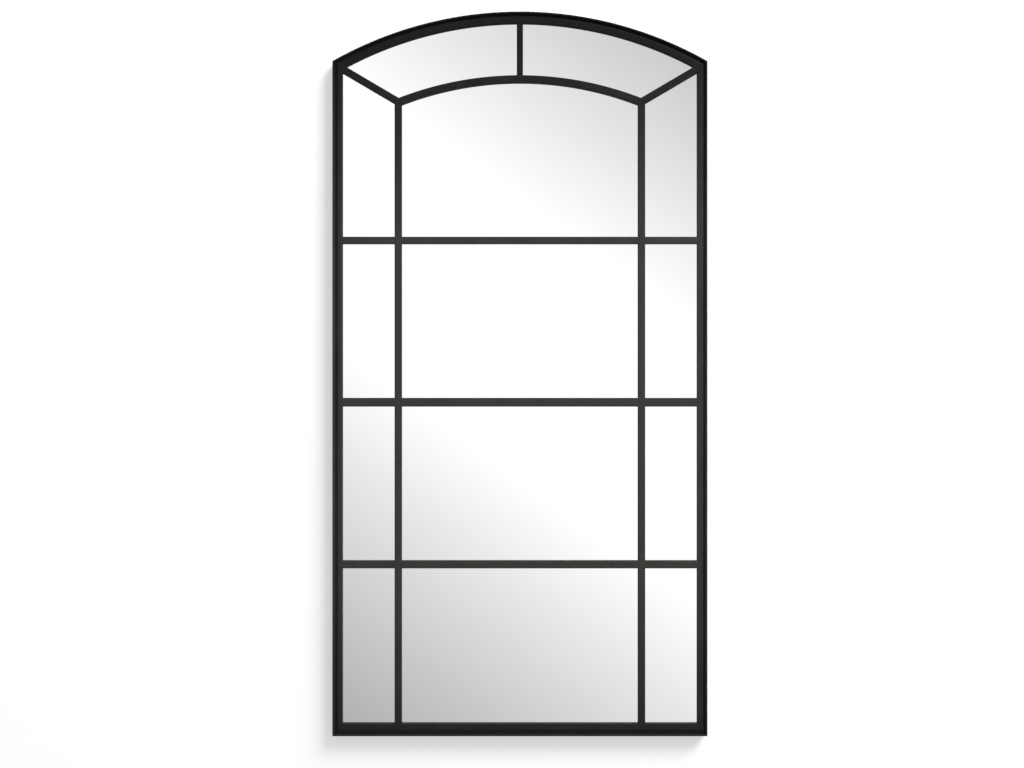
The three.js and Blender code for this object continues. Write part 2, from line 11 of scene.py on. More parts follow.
import bmesh
import bpy
import numpy as np
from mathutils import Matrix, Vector


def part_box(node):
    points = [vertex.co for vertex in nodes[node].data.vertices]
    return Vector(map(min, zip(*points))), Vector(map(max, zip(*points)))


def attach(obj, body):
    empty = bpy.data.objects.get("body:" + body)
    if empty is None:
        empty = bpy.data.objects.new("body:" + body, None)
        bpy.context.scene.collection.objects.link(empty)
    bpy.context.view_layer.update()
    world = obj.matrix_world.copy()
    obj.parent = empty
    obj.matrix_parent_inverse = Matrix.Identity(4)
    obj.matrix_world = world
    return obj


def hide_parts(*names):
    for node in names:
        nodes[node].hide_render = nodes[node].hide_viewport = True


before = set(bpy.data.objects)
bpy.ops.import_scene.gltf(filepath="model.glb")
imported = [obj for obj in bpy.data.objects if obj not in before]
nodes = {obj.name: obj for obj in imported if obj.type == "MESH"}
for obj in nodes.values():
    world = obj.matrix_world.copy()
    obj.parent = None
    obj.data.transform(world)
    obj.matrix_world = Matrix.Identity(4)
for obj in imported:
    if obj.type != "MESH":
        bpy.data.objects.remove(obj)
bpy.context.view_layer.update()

MM = 0.001

# %% [markdown]
# ## The camera
# The photo looks straight at the mirror, so its upright lines stay upright. A 50 mm lens on a 36 mm sensor
# spans 1422 pixels to one unit of depth, and the frame's 940 mm fill 375 pixels, which puts the camera 3.57
# m in front of the bars. It stands a little left of the middle and a little below half height.

# %% Camera
SENSOR = 36.0
LENS = 50.0
CAMERA_PLACE = (-0.0198, -3.579, 0.8826)


def make_camera():
    data = bpy.data.cameras.new("camera")
    data.lens, data.sensor_width = LENS, SENSOR
    camera = bpy.data.objects.new("camera", data)
    camera.location = CAMERA_PLACE
    camera.rotation_euler = (math.radians(90), 0, 0)
    bpy.context.scene.collection.objects.link(camera)
    bpy.context.scene.camera = camera


make_camera()
print("camera at", CAMERA_PLACE)

# %% [markdown]
# ## Meshes from arrays
# A steel bar is one section carried along a line or an arc. Here a section is a row of stations across the
# bar, each with a front depth and a back depth, so a bar is a grid of points: one axis runs round the
# section and the other along the bar. numpy works the grid out at once.

# %% Mesh helpers
def add_mesh(name, points, faces, wear_and_light_mark, smooth_below=35.0):
    """One closed mesh from points and faces, turned outwards. Edges steeper than smooth_below stay sharp, and
    the wear and light mark is kept with the points, one number for each."""
    mesh = bpy.data.meshes.new(name)
    mesh.from_pydata(np.asarray(points).reshape(-1, 3).tolist(), [], faces)
    mark = mesh.attributes.new("wear_and_light_mark", "FLOAT", "POINT")
    mark.data.foreach_set("value", np.asarray(wear_and_light_mark, float).ravel())
    shell = bmesh.new()
    shell.from_mesh(mesh)
    bmesh.ops.recalc_face_normals(shell, faces=shell.faces)
    shell.to_mesh(mesh)
    shell.free()
    mesh.polygons.foreach_set("use_smooth", np.ones(len(mesh.polygons), bool))
    mesh.set_sharp_from_angle(angle=math.radians(smooth_below))
    piece = bpy.data.objects.new(name, mesh)
    bpy.context.scene.collection.objects.link(piece)
    return piece


def tube_faces(rings, count):
    """Quads between rings of count points each. Ring i and ring i + 1 are joined all the way round."""
    start = np.arange(rings - 1)[:, None] * count
    here = np.arange(count)[None, :]
    after = (here + 1) % count
    quads = np.stack([start + here, start + after, start + after + count, start + here + count], axis=-1)
    return quads.reshape(-1, 4).tolist()


def paired_caps(rings, half):
    """End caps for a loop of half front points and the same number of back points in reverse: each quad joins
    two neighbouring stations on the front with the same two on the back."""
    i = np.arange(half - 1)
    last = 2 * half - 1
    cap = np.stack([i, i + 1, last - i - 1, last - i], axis=-1)
    return np.concatenate([cap, cap + (rings - 1) * 2 * half]).tolist()


def end_caps(rings, count):
    """One face over the first ring and one over the last."""
    return [list(range(count)), list(range((rings - 1) * count, rings * count))]


def end_fans(rings, count):
    """Triangles from the first ring and from the last to the two points that follow the rings."""
    here = np.arange(count)
    after, last, tip = (here + 1) % count, (rings - 1) * count, rings * count + 0 * here
    return [*np.stack([here, after, tip], axis=-1).tolist(),
            *np.stack([last + here, last + after, tip + 1], axis=-1).tolist()]


def turned(name, middle, angle, radius, depth, ends, wear_and_light_mark):
    """A piece turned about an axis along Y: one radius for each ring, closed on a point at either end."""
    x, z = middle[0] + radius[:, None] * np.cos(angle), middle[2] + radius[:, None] * np.sin(angle)
    points = np.stack(np.broadcast_arrays(x, depth, z), axis=-1).reshape(-1, 3)
    tips = [[middle[0], end, middle[2]] for end in ends]
    wear_and_light_mark = np.append(np.repeat(wear_and_light_mark, len(angle)), [0, 0])
    return add_mesh(name, np.concatenate([points, tips]), tube_faces(*x.shape) + end_fans(*x.shape), wear_and_light_mark)


def directions(line):
    """The unit step along a line at each of its points."""
    way = np.gradient(line, axis=0)
    return way / np.linalg.norm(way, axis=1)[:, None]


def box_middle(node):
    return np.add(*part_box(node)) / 2


print("mesh helpers ready")

# %% [markdown]
# ## Sizes of the steelwork
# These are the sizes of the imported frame, in metres. The outline is a rectangle with a shallow arch on top,
# and the grid repeats that outline on a smaller scale inside it.

# %% Sizes
HALF_WIDTH, HEIGHT, ARCH_RISE = 470 * MM, 1816 * MM, 124 * MM
RIM_THICKNESS, RIM_DEPTH, RIM_EDGE = 5 * MM, 30 * MM, 1.2 * MM
LIP_Y, FACE_Y, FACE_BACK_Y, GLASS_Y = -16 * MM, -12 * MM, -7 * MM, -4 * MM
RIM_BACK_Y, WALL_Y = LIP_Y + RIM_DEPTH, 16 * MM
STILE, FOOT, ARCH_RAIL = 25 * MM, 31 * MM, 28.5 * MM
FACE_INSET = RIM_THICKNESS + 0.3 * MM
EDGE = 1.5 * MM
SHOULDER_SHARE, SHOULDER_DROP = 0.33, 2.2 * MM
UPRIGHT, INNER_ARCH, CROWN_BAR, CORNER_BAR = 18 * MM, 19 * MM, 15.5 * MM, 18 * MM
INNER_HALF = HALF_WIDTH - STILE - 130.5 * MM
INNER_CROWN = HEIGHT - ARCH_RAIL - 130 * MM
HANDS = {"left": -1, "right": 1}


class Outline:
    """A window outline: half width, height of the crown, and radius of the arch."""

    def __init__(self, half, crown, radius):
        self.half, self.crown, self.radius = half, crown, radius
        self.centre = crown - radius

    def arch_height(self, x, inset=0.0):
        """Height of the arch at x, with the arch drawn in by inset."""
        return self.centre + np.sqrt((self.radius - inset) ** 2 - np.square(x))

    def corner(self, side_inset, rail_inset):
        x = self.half - side_inset
        return np.array([x, self.arch_height(x, rail_inset)])


outer = Outline(HALF_WIDTH, HEIGHT, (HALF_WIDTH**2 + ARCH_RISE**2) / (2 * ARCH_RISE))
inner = Outline(INNER_HALF, INNER_CROWN, 842 * MM)
crossbars = {}
for row in ("lower", "middle", "upper"):
    low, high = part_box(f"crossbar_{row}_centre")
    crossbars[row] = ((low[2] + high[2]) / 2, high[2] - low[2])
print("arch radius", round(outer.radius, 4))
print("crossbars:", {row: np.round(sizes, 4).tolist() for row, sizes in crossbars.items()})

# %% [markdown]
# ## Sections of the bars
# Flat bar comes off the rolls with soft corners, and a coat of paint makes them softer still. Each section
# below is cut into stations, close together on the roundings and few on the flats. Every station also
# carries a mark from 0 to 1 that says how near it is to an edge that hands and cloths rub, for the finish to
# use: as wear, and on the powder coats also as painted shade on the grid's edges and a painted highlight on
# the frame's.

# %% Sections
ROUND_STEPS, SHOULDER_STEPS, FLATS = 6, 8, 4
BACK_EDGE = 0.4 * MM
WEAR_AND_LIGHT_REACH, BACK_WEAR_AND_LIGHT = 1.6, 0.4


def quarter(radius):
    """Quarter circle from a side face to the front: how far in from the side, how far back from the front."""
    angle = np.linspace(0, np.pi / 2, ROUND_STEPS + 1)
    return radius * (1 - np.cos(angle)), radius * (1 - np.sin(angle))


def flat_bar(width, front, back, edge):
    """Stations of a flat bar with rounded front edges and slightly eased back edges."""
    inward, rearward = quarter(edge)
    middle = np.linspace(edge, width - edge, FLATS + 1)[1:-1]
    across = np.concatenate([inward, middle, width - inward[::-1]])
    fore = front + np.concatenate([rearward, 0 * middle, rearward[::-1]])
    side = np.minimum(across, width - across)
    ease = np.clip(1 - side / BACK_EDGE, 0, 1)
    aft = back - BACK_EDGE * (1 - np.sqrt(np.clip(1 - ease**2, 0, 1)))
    wear_and_light_mark = np.clip(1 - side / (WEAR_AND_LIGHT_REACH * edge), 0, 1)
    return across, fore, aft, wear_and_light_mark


def face_bar(width):
    """Stations of a face bar: a shoulder that rises along a parabola from the rim, a flat, a rounded edge."""
    shoulder = width * SHOULDER_SHARE
    rise = np.linspace(0, 1, SHOULDER_STEPS + 1)
    inward, rearward = quarter(EDGE)
    middle = np.linspace(shoulder, width - EDGE, FLATS)[1:-1]
    across = np.concatenate([rise * shoulder, middle, width - inward[::-1]])
    fore = FACE_Y + np.concatenate([SHOULDER_DROP * (1 - rise**2), 0 * middle, rearward[::-1]])
    aft = np.full_like(across, FACE_BACK_Y)
    wear_and_light_mark = np.clip(1 - (width - across) / (WEAR_AND_LIGHT_REACH * EDGE), 0, 1)
    return across, fore, aft, wear_and_light_mark


def make_bar(name, section, place, stops=(0, 1)):
    """Carries a section along a bar. place(across, t) gives x and z of a station at a stop t from 0 to 1."""
    across, fore, aft, wear_and_light_mark = section
    around, depth = np.concatenate([across, across[::-1]]), np.concatenate([fore, aft[::-1]])
    x, z = place(around[None, :], np.asarray(stops, float)[:, None])
    points = np.stack(np.broadcast_arrays(x, depth[None, :], z), axis=-1)
    marks = np.broadcast_to(np.concatenate([wear_and_light_mark, BACK_WEAR_AND_LIGHT * wear_and_light_mark[::-1]]), points.shape[:2])
    faces = tube_faces(len(stops), len(around)) + paired_caps(len(stops), len(across))
    return add_mesh(name, points, faces, marks)


print(len(flat_bar(UPRIGHT, FACE_Y, FACE_BACK_Y, EDGE)[0]), "stations in a window bar,",
      len(face_bar(STILE - FACE_INSET)[0]), "in a face bar")

# %% [markdown]
# ## Carrying a bar round the window
# Bars meet at the corners in mitres, so that their mouldings run round the corner without a step. The mitre
# is the line from the outer corner to the inner corner, and every station of a bar ends on it at its own
# share of the width. An arched bar turns each station about the middle of the arch until it meets the same
# line.

# %% Bars that follow an outline
BAND = (0, RIM_THICKNESS)
FACE_SIDE, FACE_FOOT, FACE_RAIL = (FACE_INSET, STILE), (FACE_INSET, FOOT), (FACE_INSET, ARCH_RAIL)


def side_place(line, hand, side, rail, foot):
    """An upright bar. x goes in from the outline with the station; z goes from the foot to the mitre at the
    arch. Both ends are straight lines across the bar. foot is the height at the outer and the inner edge."""
    top_out, top_in = line.corner(side[0], rail[0])[1], line.corner(side[1], rail[1])[1]

    def place(across, t):
        share = across / (side[1] - side[0])
        low, high = foot[0] + (foot[1] - foot[0]) * share, top_out + (top_in - top_out) * share
        return hand * (line.half - side[0] - across) + 0 * t, low + (high - low) * t

    return place


def foot_place(line, side, foot):
    """A level bar along the foot. Its half length shrinks with the station, which gives the mitred ends."""

    def place(across, t):
        half = line.half - side[0] - (side[1] - side[0]) * across / (foot[1] - foot[0])
        return half * (2 * t - 1), foot[0] + across + 0 * t

    return place


def arch_place(line, side, rail):
    """An arched bar. Each station lies on a circle about the middle of the arch, and it ends where that
    circle meets the mitre line: a quadratic equation for the share of the way along the line."""
    start, end = line.corner(side[0], rail[0]), line.corner(side[1], rail[1])
    run = end - start
    rise = start[1] - line.centre

    def place(across, t):
        radius = line.radius - rail[0] - across
        a, b = run @ run, start[0] * run[0] + rise * run[1]
        c = start[0] ** 2 + rise**2 - radius**2
        share = (-b - np.sqrt(b * b - a * c)) / a
        angle = np.arctan2(start[0] + run[0] * share, rise + run[1] * share) * (2 * t - 1)
        return radius * np.sin(angle), line.centre + radius * np.cos(angle)

    return place


ARCH_STOPS = np.linspace(0, 1, 97)
print("arch bars have", len(ARCH_STOPS), "rings")

# %% [markdown]
# ## Finish of the steel: satin black powder coat
# The real bars are powder coated: black, with a soft sheen, a skin that is never quite flat, and small
# changes of tone where the coat lies thicker. The coat is painted deepest at the arch and the foot and
# greyest at half height: painted shade, for the light that falls off towards the top and the bottom. The
# grid is a little greyer than the frame. Its edges are painted darker than its flats, as painted shade, while
# the frame's edges are a little lighter, as wear and a painted highlight. These effects return on several
# finishes, so each is a node group that puts out a mask or a height, and each material mixes its own colours
# with it.

# %% Node helpers
def node_group(name, inputs, output):
    """An empty shader group with named float sockets: the group, what it is given, and what it gives."""
    group = bpy.data.node_groups.new(name, "ShaderNodeTree")
    for label, value in inputs.items():
        socket = group.interface.new_socket(label, in_out="INPUT", socket_type="NodeSocketFloat")
        socket.default_value = value
    group.interface.new_socket(output, in_out="OUTPUT", socket_type="NodeSocketFloat")
    start, end = group.nodes.new("NodeGroupInput"), group.nodes.new("NodeGroupOutput")
    return group, start.outputs, end.inputs[0]


def plug(tree, value, socket):
    """Links a socket to another, or sets a constant on it."""
    if isinstance(value, bpy.types.NodeSocket):
        tree.links.new(value, socket)
    else:
        socket.default_value = value


def feed(tree, shader, **values):
    """Plugs each value into the shader's input of that name."""
    for key, value in values.items():
        plug(tree, value, shader.inputs[key.replace("_", " ")])


def object_point(tree):
    return tree.nodes.new("ShaderNodeTexCoord").outputs["Object"]


def split(tree, vector):
    """The X, Y and Z of a vector."""
    node = tree.nodes.new("ShaderNodeSeparateXYZ")
    tree.links.new(vector, node.inputs[0])
    return node.outputs


def calc(tree, operation, *values, clamp=False):
    """A Math node on sockets or numbers."""
    node = tree.nodes.new("ShaderNodeMath")
    node.operation, node.use_clamp = operation, clamp
    for socket, value in zip(node.inputs, values):
        plug(tree, value, socket)
    return node.outputs[0]


def sums(tree):
    """The four sums of a tree, by short names: plus, minus, times and over."""
    return [partial(calc, tree, name) for name in ("ADD", "SUBTRACT", "MULTIPLY", "DIVIDE")]


def noise(tree, vector, scale, detail=3.0, roughness=0.5, stretch=(1, 1, 1)):
    """Noise on the object's own coordinates, stretched along an axis if asked."""
    mapping = tree.nodes.new("ShaderNodeMapping")
    node = tree.nodes.new("ShaderNodeTexNoise")
    feed(tree, mapping, Vector=vector, Scale=stretch)
    feed(tree, node, Vector=mapping.outputs["Vector"], Scale=scale, Detail=detail, Roughness=roughness)
    return node.outputs["Fac"]


def spread(tree, value, low, high, to_low=0.0, to_high=1.0):
    """Map Range: values from low to high become to_low to to_high."""
    node = tree.nodes.new("ShaderNodeMapRange")
    for socket, number in zip(node.inputs[1:5], (low, high, to_low, to_high)):
        socket.default_value = number
    tree.links.new(value, node.inputs[0])
    return node.outputs[0]


def place_group(tree, group, **values):
    """Puts a shared effect into a tree and gives its one output."""
    node = tree.nodes.new("ShaderNodeGroup")
    node.node_tree = group
    feed(tree, node, **values)
    return node.outputs[0]


def blend_colours(tree, factor, first, second):
    """Mix of two colours, each written as linear numbers or taken from a socket."""
    node = tree.nodes.new("ShaderNodeMix")
    node.data_type = "RGBA"
    tree.links.new(factor, node.inputs[0])
    for socket, colour in ((node.inputs[6], first), (node.inputs[7], second)):
        plug(tree, colour if isinstance(colour, bpy.types.NodeSocket) else (*colour, 1.0), socket)
    return node.outputs[2]


print("node helpers ready")

# %% Shared effects
def make_mottle():
    """Slow changes of tone with a finer grain on top: two noises, added with weights 0.7 and 0.3."""
    group, given, mask = node_group("mottle", {"Size": 12.0}, "Mask")
    plus, _, times, _ = sums(group)
    point = object_point(group)
    slow = noise(group, point, given["Size"], 2.0)
    fine = noise(group, point, times(given["Size"], 9.0), 4.0, 0.6)
    group.links.new(spread(group, plus(times(slow, 0.7), times(fine, 0.3)), 0.3, 0.7), mask)
    return group


def make_orange_peel():
    """The skin of a sprayed coat: smooth bumps about 1.5 mm apart over slower waves about 8 mm apart."""
    group, given, height = node_group("orange_peel", {"Size": 650.0}, "Height")
    plus, _, times, _ = sums(group)
    point = object_point(group)
    bumps = noise(group, point, given["Size"], 1.0, 0.4)
    waves = noise(group, point, times(given["Size"], 0.18), 1.0, 0.4)
    group.links.new(plus(times(bumps, 0.45), times(waves, 0.55)), height)
    return group


def make_edge_wear_and_light():
    """Edges of a piece: its own wear and light mark, broken up by noise. Its colours stand for wear, and on
    the powder coats also for painted shade and a painted highlight.
    """
    group, given, mask = node_group("edge_wear_and_light", {"Size": 90.0, "Amount": 1.0}, "Mask")
    mark = group.nodes.new("ShaderNodeAttribute")
    mark.attribute_name = "wear_and_light_mark"
    patches = noise(group, object_point(group), given["Size"], 4.0, 0.6)
    edge_tone = calc(group, "MULTIPLY", mark.outputs["Fac"], spread(group, patches, 0.35, 0.65, 0.25, 1.0))
    group.links.new(calc(group, "MULTIPLY", edge_tone, given["Amount"], clamp=True), mask)
    return group


# Mask for painted shade: the coat is painted darker towards the arch and the foot, where less light falls.
def make_painted_falloff():
    """How far up a point is: 0 at the arch and 1 at half height, with a slower fall to the foot. It is the
    lesser of the height over Foot divided by 0.55 m and the depth under Arch divided by 0.5 m."""
    group, given, mask = node_group("painted_falloff", {"Foot": -0.15, "Arch": 1.72}, "Mask")
    height = split(group, object_point(group))["Z"]
    rise = calc(group, "DIVIDE", calc(group, "SUBTRACT", height, given["Foot"]), 0.55, clamp=True)
    fall = calc(group, "DIVIDE", calc(group, "SUBTRACT", given["Arch"], height), 0.5, clamp=True)
    group.links.new(calc(group, "MINIMUM", rise, fall), mask)
    return group


mottle, orange_peel = make_mottle(), make_orange_peel()
edge_wear_and_light, painted_falloff = make_edge_wear_and_light(), make_painted_falloff()
print("shared effects:", [group.name for group in (mottle, orange_peel, edge_wear_and_light, painted_falloff)])

# %% Finishes
def linear(red, green, blue):
    """A colour as a screen shows it, 0 to 255, as the linear numbers that a shader takes."""
    screen = np.array([red, green, blue]) / 255
    return tuple(np.where(screen <= 0.04045, screen / 12.92, ((screen + 0.055) / 1.055) ** 2.4))


def new_finish(name, **settings):
    """A material with one Principled BSDF whose constant values are set on its own sockets."""
    material = bpy.data.materials.new(name)
    material.use_nodes = True
    tree = material.node_tree
    shader = tree.nodes["Principled BSDF"]
    feed(tree, shader, **settings)
    return material, tree, shader


def add_bump(tree, shader, height, distance, strength=1.0):
    bump = tree.nodes.new("ShaderNodeBump")
    feed(tree, bump, Height=height, Distance=distance, Strength=strength)
    feed(tree, shader, Normal=bump.outputs["Normal"])


SHADED_COAT, SHADED_EDGE, SHADED_SHEEN = ((23, 23, 22), (28, 28, 27)), (24, 24, 23), 0.03
COAT_ROUGHNESS, PEEL_DEPTH = (0.36, 0.5), 0.12 * MM


def powder_coat(name, dark, light, edge_tone, sheen):
    """Black powder coat: two near blacks in slow patches, edges of their own tone, and an orange-peel skin.
    The edge tone is painted shade where it is darker than the flats, and wear with a painted highlight where
    it is lighter. All of it goes over to one deep black, with less sheen, where the painted falloff mask is
    low: painted shade towards the arch and the foot."""
    material, tree, shader = new_finish(name)
    tone = place_group(tree, mottle, Size=14.0)
    edges = place_group(tree, edge_wear_and_light, Size=30.0, Amount=0.8)
    height = place_group(tree, painted_falloff)
    # Painted shade: a darker coat and less sheen towards the arch and the foot.
    deep = blend_colours(tree, tone, linear(*SHADED_COAT[0]), linear(*SHADED_COAT[1]))
    coat = blend_colours(tree, height, deep, blend_colours(tree, tone, linear(*dark), linear(*light)))
    # Edge tone: painted shade where it is darker than the flats, wear and a painted highlight where it is
    # lighter.
    edge_coat = blend_colours(tree, height, linear(*SHADED_EDGE), linear(*edge_tone))
    feed(tree, shader, Base_Color=blend_colours(tree, edges, coat, edge_coat),
         Specular_IOR_Level=spread(tree, height, 0, 1, SHADED_SHEEN, sheen),
         Roughness=spread(tree, tone, 0, 1, *COAT_ROUGHNESS))
    add_bump(tree, shader, place_group(tree, orange_peel, Size=650.0), PEEL_DEPTH)
    return material


# The grid's edges are painted darker than its flats, as painted shade; the frame's edges are painted lighter,
# as wear and a painted highlight.
grid_coat = powder_coat("grid_powder_coat", (34, 33, 31), (42, 41, 38), (20, 20, 19), 0.34)
frame_coat = powder_coat("frame_powder_coat", (29, 28, 26), (36, 35, 33), (50, 49, 47), 0.34)
print("powder coats:", [coat.name for coat in (grid_coat, frame_coat)])

# %% [markdown]
# ## The frame: rim and face bars
# The rim is flat bar set on edge. The face bars lie inside it and carry the moulding: beside the rim the
# face sinks in a shoulder, which shows as the dark line that follows the outside of the frame in the photo.

# %% Frame bars
def dress(piece, node, coat, body="frame"):
    """Gives a new piece its finish, the body it rides on and the node it stands for."""
    piece.data.materials.append(coat)
    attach(piece, body)
    if node:
        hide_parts(node)
    return piece


def coated_bars(table, coat):
    """Makes and dresses a bar for each node of a table of sections, places and stops."""
    return [dress(make_bar(f"{node}_coated", *bar), node, coat) for node, bar in table.items()]


def make_frame_bars():
    rim = flat_bar(RIM_THICKNESS, LIP_Y, RIM_BACK_Y, RIM_EDGE)
    faces = [face_bar(inset[1] - inset[0]) for inset in (FACE_SIDE, FACE_FOOT, FACE_RAIL)]
    sets = {"rim": (rim, rim, rim, BAND, BAND, BAND), "face_bar": (*faces, FACE_SIDE, FACE_FOOT, FACE_RAIL)}
    table = {}
    for kind, (stile, low, high, side, foot, rail) in sets.items():
        for name, hand in HANDS.items():
            table[f"{kind}_{name}"] = stile, side_place(outer, hand, side, rail, foot)
        table[f"{kind}_bottom"] = low, foot_place(outer, side, foot)
        table[f"{kind}_arch"] = high, arch_place(outer, side, rail), ARCH_STOPS
    return coated_bars(table, frame_coat)


frame_bars = make_frame_bars()
print(len(frame_bars), "frame bars,", sum(len(piece.data.polygons) for piece in frame_bars), "faces")

# %% [markdown]
# ## The window grid
# In the photo the bars of the grid meet flush, with no bar passing over another: the joints were welded and
# ground flat before the coat went on. So each bar here runs on over the rounded edge of its neighbour and
# stops where that neighbour's flat begins.

# %% Window bars
def window_section(width):
    return flat_bar(width, FACE_Y, FACE_BACK_Y, EDGE)


def crossbar_place(height, width, start, end):
    """A level bar: x runs from start to end, and the stations go up from its lower edge."""
    return lambda across, t: (start + (end - start) * t + 0 * across, height - width / 2 + across + 0 * t)


def crown_place(width):
    """A short upright bar between two arches: each station runs from the lower arc to the upper arc."""

    def place(across, t):
        x = across - width / 2
        low, high = inner.arch_height(x, EDGE), outer.arch_height(x, ARCH_RAIL - EDGE)
        return x + 0 * t, low + (high - low) * t

    return place


def first_inside(start, way, line, side_inset, rail_inset):
    """How far along a ray each point enters an outline drawn in by the two insets: the later of its crossing
    of the upright side and its crossing of the arch."""
    at_side = (line.half - side_inset - start[0]) / way[0]
    rise = start[1] - line.centre
    b = start[0] * way[0] + rise * way[1]
    c = start[0] ** 2 + rise**2 - (line.radius - rail_inset) ** 2
    return np.maximum(at_side, -b - np.sqrt(b * b - c))


def corner_place(width, hand):
    """A slanting bar from the frame's inner corner to the grid's outer corner. Each station runs from where
    it enters the opening to where it enters the grid, which gives the pointed and the notched end."""
    outer_corner, inner_corner = outer.corner(STILE, ARCH_RAIL), inner.corner(0, 0)
    way = (inner_corner - outer_corner) / np.linalg.norm(inner_corner - outer_corner)

    def place(across, t):
        aside = across - width / 2
        start = (outer_corner[0] - way[1] * aside, outer_corner[1] + way[0] * aside)
        near = first_inside(start, way, outer, STILE - EDGE, ARCH_RAIL - EDGE)
        far = first_inside(start, way, inner, EDGE, EDGE)
        run = near + (far - near) * t
        return hand * (start[0] + way[0] * run), start[1] + way[1] * run

    return place


def make_window_bars():
    side, rail, foot = (0, UPRIGHT), (0, INNER_ARCH), (FOOT - EDGE, FOOT - EDGE)
    table = {}
    for name, hand in HANDS.items():
        table[f"upright_bar_{name}"] = window_section(UPRIGHT), side_place(inner, hand, side, rail, foot)
        table[f"corner_bar_{name}"] = window_section(CORNER_BAR), corner_place(CORNER_BAR, hand)
    table["inner_arch"] = window_section(INNER_ARCH), arch_place(inner, side, rail), ARCH_STOPS
    table["crown_bar"] = window_section(CROWN_BAR), crown_place(CROWN_BAR)
    stile, post, light = HALF_WIDTH - STILE + EDGE, INNER_HALF - EDGE, INNER_HALF - UPRIGHT + EDGE
    spans = {"left": (-stile, -post), "centre": (-light, light), "right": (post, stile)}
    for row, (height, width) in crossbars.items():
        for name, ends in spans.items():
            table[f"crossbar_{row}_{name}"] = window_section(width), crossbar_place(height, width, *ends)
    return coated_bars(table, grid_coat)


window_bars = make_window_bars()
print(len(window_bars), "window bars")

# %% [markdown]
# ## The mirror glass
# The mirror is float glass, silvered on its back and sealed there with grey paint. Seen from the front it is
# nearly a perfect reflector, so a metallic surface with almost no roughness stands for it. Float glass is
# not quite flat and never quite clean: a very long, very low wave bends reflections, and a thin haze lies in
# patches. The CAD sheet has the right shape, so it stays and only gets its finish. Its depth tells the faces
# apart: the front mirrors, the ground edge is green, and the back is painted.

# %% Mirror finish
GLASS_THICKNESS, FACE_NEAR, FACE_FAR = 4 * MM, 0.1 * MM, 0.3 * MM


def mirror_finish():
    """Metal on the front, green glass between the faces and grey paint on the back. Each face's mask falls
    from 1 to 0 between FACE_NEAR and FACE_FAR from that face."""
    material, tree, shader = new_finish("silvered_glass", IOR=1.5)
    plus, minus, times, _ = sums(tree)
    point = object_point(tree)
    behind = minus(split(tree, point)["Y"], GLASS_Y)
    front = spread(tree, behind, FACE_NEAR, FACE_FAR, 1, 0)
    back = spread(tree, behind, GLASS_THICKNESS - FACE_FAR, GLASS_THICKNESS - FACE_NEAR)
    haze = place_group(tree, mottle, Size=5.0)
    silver = blend_colours(tree, haze, (0.965, 0.967, 0.966), (0.978, 0.98, 0.979))
    ground = blend_colours(tree, haze, (0.2, 0.36, 0.3), (0.26, 0.44, 0.37))
    paint = blend_colours(tree, haze, linear(112, 114, 112), linear(126, 127, 124))
    colour = blend_colours(tree, front, blend_colours(tree, back, ground, paint), silver)
    rough = plus(times(minus(1.0, front), 0.45), spread(tree, haze, 0, 1, 0.0, 0.012))
    feed(tree, shader, Base_Color=colour, Metallic=front, Roughness=rough)
    add_bump(tree, shader, noise(tree, point, 1.6, 1.0, 0.3, (1.0, 1.0, 0.55)), 0.3 * MM, 0.5)
    return material


def give(material, *names):
    """Puts a finish on CAD nodes that keep their shape."""
    for name in names:
        nodes[name].data.materials.clear()
        nodes[name].data.materials.append(material)


give(mirror_finish(), "mirror_glass")
print("mirror glass finished")

# %% [markdown]
# ## Soft parts behind the bars
# Black foam tape keeps the glass off the steel, two rubber blocks carry the glass, and the backing board is
# hardboard: wood fibre pressed into a thin dark sheet, with a mesh pattern pressed into its back.

# %% Foam, rubber and hardboard finishes
MESH_STEP = 1.6 * MM


def foam_finish():
    """Closed-cell foam: small round cells as dimples in a dull black, with painted shade darkening their
    middles.
    """
    material, tree, shader = new_finish("black_foam", Specular_IOR_Level=0.15)
    cells = tree.nodes.new("ShaderNodeTexVoronoi")
    feed(tree, cells, Vector=object_point(tree), Scale=1400.0)
    # Painted shade: each cell is darker towards its middle, where the dimple is deepest.
    rim = spread(tree, cells.outputs["Distance"], 0.1, 0.6)
    feed(tree, shader, Base_Color=blend_colours(tree, rim, linear(18, 18, 19), linear(34, 34, 35)),
         Roughness=spread(tree, rim, 0, 1, 0.8, 0.95))
    add_bump(tree, shader, rim, 0.1 * MM)
    return material


def rubber_finish():
    """Moulded rubber: dull black with a pale bloom in patches and a very fine grain."""
    material, tree, shader = new_finish("black_rubber", Specular_IOR_Level=0.3)
    bloom = place_group(tree, mottle, Size=60.0)
    edges = place_group(tree, edge_wear_and_light, Size=400.0, Amount=0.6)
    body = blend_colours(tree, bloom, linear(26, 26, 27), linear(44, 44, 44))
    feed(tree, shader, Base_Color=blend_colours(tree, edges, body, linear(70, 70, 70)),
         Roughness=spread(tree, bloom, 0, 1, 0.55, 0.75))
    add_bump(tree, shader, place_group(tree, orange_peel, Size=2500.0), 0.05 * MM)
    return material


